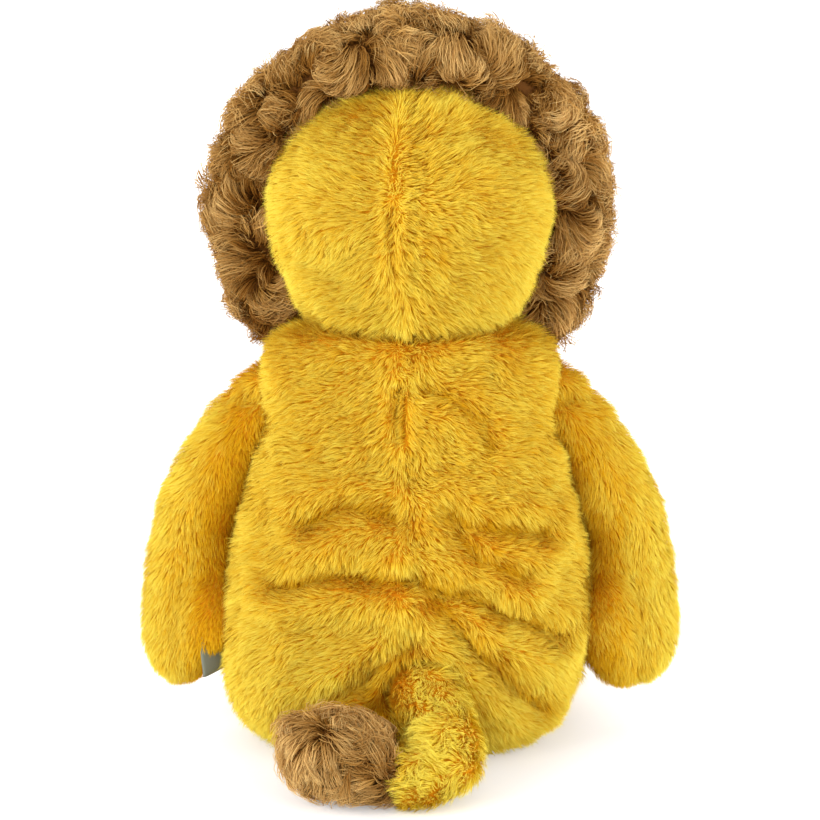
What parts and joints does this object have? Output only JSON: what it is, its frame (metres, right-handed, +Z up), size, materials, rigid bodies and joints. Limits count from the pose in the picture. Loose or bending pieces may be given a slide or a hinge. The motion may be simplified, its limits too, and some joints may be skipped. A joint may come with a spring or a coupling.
{
  "type": "plush lion",
  "caption": "Sitting stuffed lion with a curly brown mane, floppy arms and legs, and a curled tail with a brown tuft.",
  "frame": {"origin": "middle of the flat under the seat, which is also where the torso rests on the floor", "axes": "+Z up through the torso to the crown; the lion faces -Y, its tail lies behind it at +Y, and +X is its own left side"},
  "size_m": [0.2284, 0.2407, 0.3134],
  "materials": {
    "fur_yellow": "golden yellow fur fabric with a soft clumped pile about 10 mm long",
    "fur_brown": "brown long-pile fur in loose curls about 25 mm long",
    "plush_cream": "cream short-pile plush",
    "fibre_fill": "white polyester fibre filling",
    "bag_cloth": "plain woven bag of plastic pellets",
    "nose_velour": "dark brown velour",
    "mouth_thread": "dark brown embroidery thread",
    "eye_plastic": "glossy black",
    "washer_plastic": "matte white",
    "label_ribbon": "grey-green woven ribbon, bare"
  },
  "bodies": {
    "torso": {"back_panel_left": "fur_yellow", "back_panel_right": "fur_yellow", "belly_panel": "fur_yellow", "seat_panel": "fur_yellow", "torso_filling": "fibre_fill", "pellet_bag": "bag_cloth", "side_label": "label_ribbon"},
    "head": {"face_panel": "fur_yellow", "head_back_left": "fur_yellow", "head_back_right": "fur_yellow", "head_filling": "fibre_fill", "mane": "fur_brown", "muzzle": "plush_cream", "nose": "nose_velour", "mouth_stitches": "mouth_thread", "left_eye": "eye_plastic", "right_eye": "eye_plastic", "left_eye_washer": "washer_plastic", "right_eye_washer": "washer_plastic", "left_ear": "fur_yellow", "right_ear": "fur_yellow", "left_ear_lining": "plush_cream", "right_ear_lining": "plush_cream"},
    "arm_left": {"left_arm": "fur_yellow", "left_arm_filling": "fibre_fill"},
    "arm_right": {"right_arm": "fur_yellow", "right_arm_filling": "fibre_fill"},
    "leg_left": {"left_leg": "fur_yellow", "left_leg_filling": "fibre_fill", "left_sole": "plush_cream"},
    "leg_right": {"right_leg": "fur_yellow", "right_leg_filling": "fibre_fill", "right_sole": "plush_cream"},
    "tail": {"tail_tube": "fur_yellow", "tail_filling": "fibre_fill", "tail_tuft": "fur_brown"}
  },
  "joints": [
    {"name": "head_turn", "type": "hinge", "parent": "torso", "child": "head", "pos_m": [0, 0, 0.183], "axis": [0, 0, 1], "range_deg": [-15, 15], "stiffness_Nm_per_rad": 0.03},
    {"name": "arm_left_swing", "type": "hinge", "parent": "torso", "child": "arm_left", "pos_m": [0.06338, 0, 0.148], "axis": [0, -1, 0], "range_deg": [0, 60]},
    {"name": "arm_right_swing", "type": "hinge", "parent": "torso", "child": "arm_right", "pos_m": [-0.06338, 0, 0.148], "axis": [0, 1, 0], "range_deg": [0, 60]},
    {"name": "leg_left_swing", "type": "hinge", "parent": "torso", "child": "leg_left", "pos_m": [0.036, -0.04, 0.0262], "axis": [1, 0, 0], "range_deg": [0, 45]},
    {"name": "leg_right_swing", "type": "hinge", "parent": "torso", "child": "leg_right", "pos_m": [-0.036, -0.04, 0.0262], "axis": [1, 0, 0], "range_deg": [0, 45]},
    {"name": "tail_lift", "type": "hinge", "parent": "torso", "child": "tail", "pos_m": [-0.007, 0.05675, 0.037], "axis": [1, 0, 0], "range_deg": [0, 40]}
  ]
}
